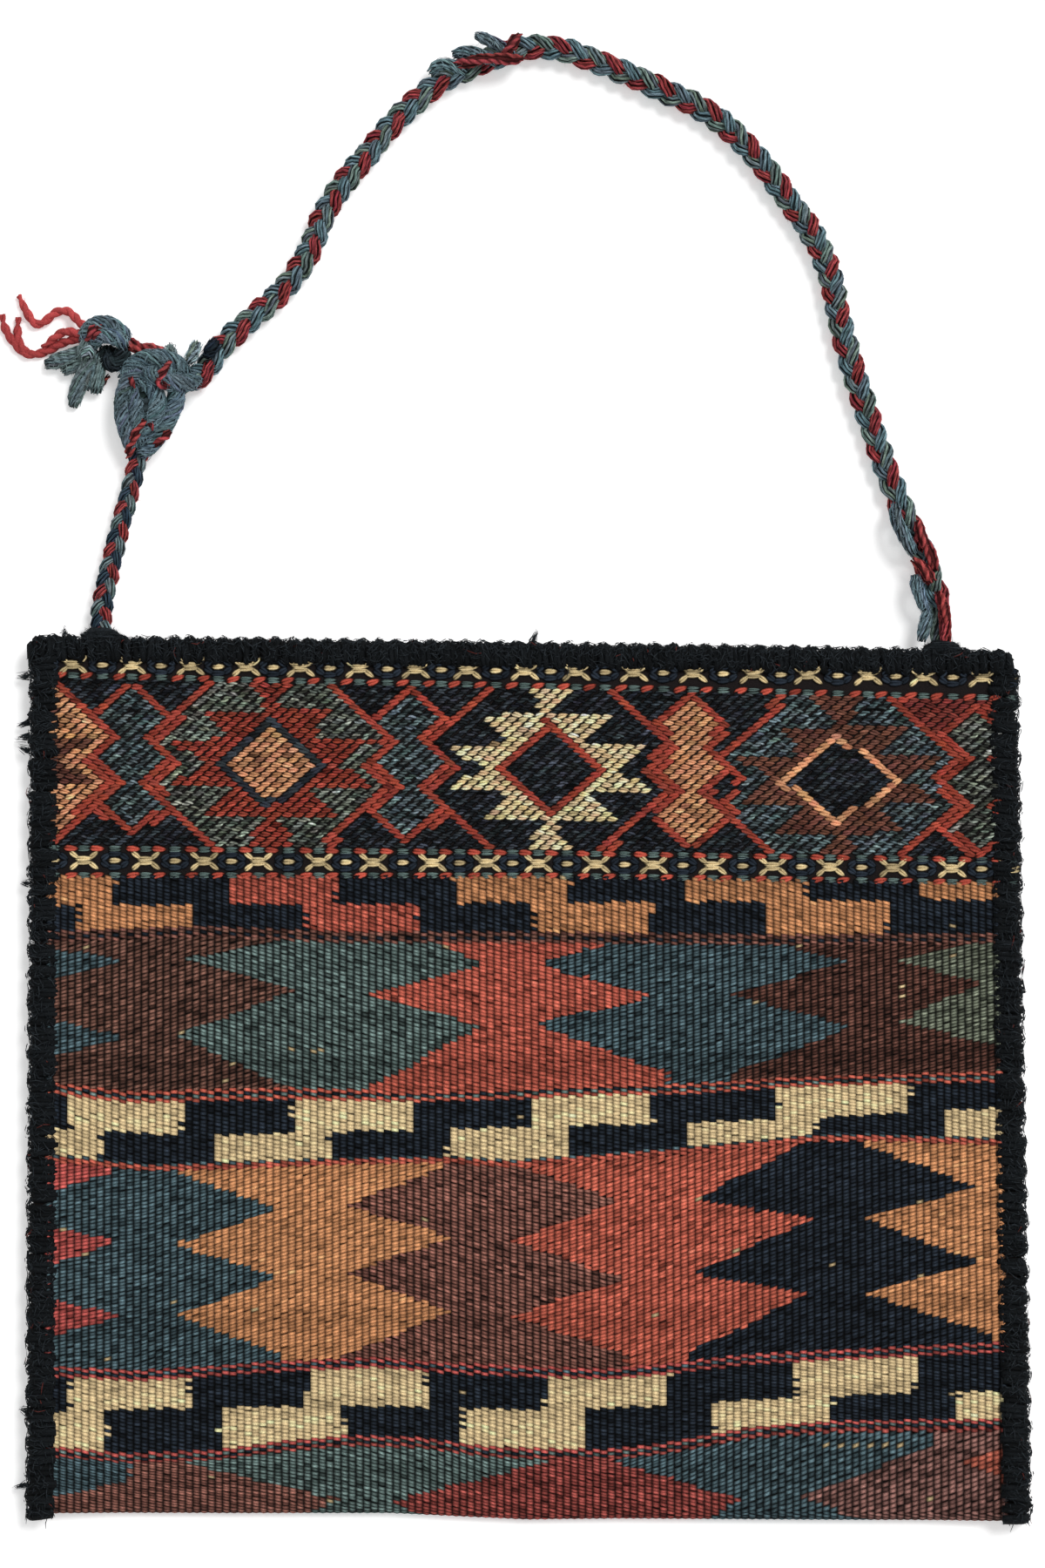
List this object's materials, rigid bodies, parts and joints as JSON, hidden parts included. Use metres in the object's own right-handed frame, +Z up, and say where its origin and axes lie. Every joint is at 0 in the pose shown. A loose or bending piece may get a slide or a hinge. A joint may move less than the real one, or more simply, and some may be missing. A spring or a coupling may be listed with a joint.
{
  "type": "kilim bag",
  "caption": "Flat woven kilim bag folded at the bottom, sides and mouth bound in black hair, with a plaited shoulder strap knotted near one corner.",
  "frame": {"origin": "middle of the bag's outline without its strap, on the surface that its back lies on", "axes": "+X to the right across the bag as its front is seen, +Y from the bottom fold to the mouth, +Z up, out of the front"},
  "size_m": [0.3429, 0.4934, 0.0165],
  "materials": {
    "kilim_wool": "weft-faced wool, matt",
    "goat_hair": "coarse black hair, matt",
    "blue_yarn": "plied wool yarn, fuzzy",
    "red_yarn": "plied wool yarn, fuzzy"
  },
  "bodies": {
    "root": {"kilim_cloth": "kilim_wool", "left_side_binding": "goat_hair", "right_side_binding": "goat_hair", "front_mouth_binding": "goat_hair", "back_mouth_binding": "goat_hair", "left_strap_whipping": "goat_hair", "right_strap_whipping": "goat_hair", "strap_long": "blue_yarn", "strap_short": "blue_yarn", "strap_knot": "blue_yarn", "tail_plait": "red_yarn", "tail_knot": "blue_yarn", "tail_tuft": "blue_yarn", "upper_loose_yarn": "red_yarn", "lower_loose_yarn": "red_yarn"}
  },
  "joints": []
}
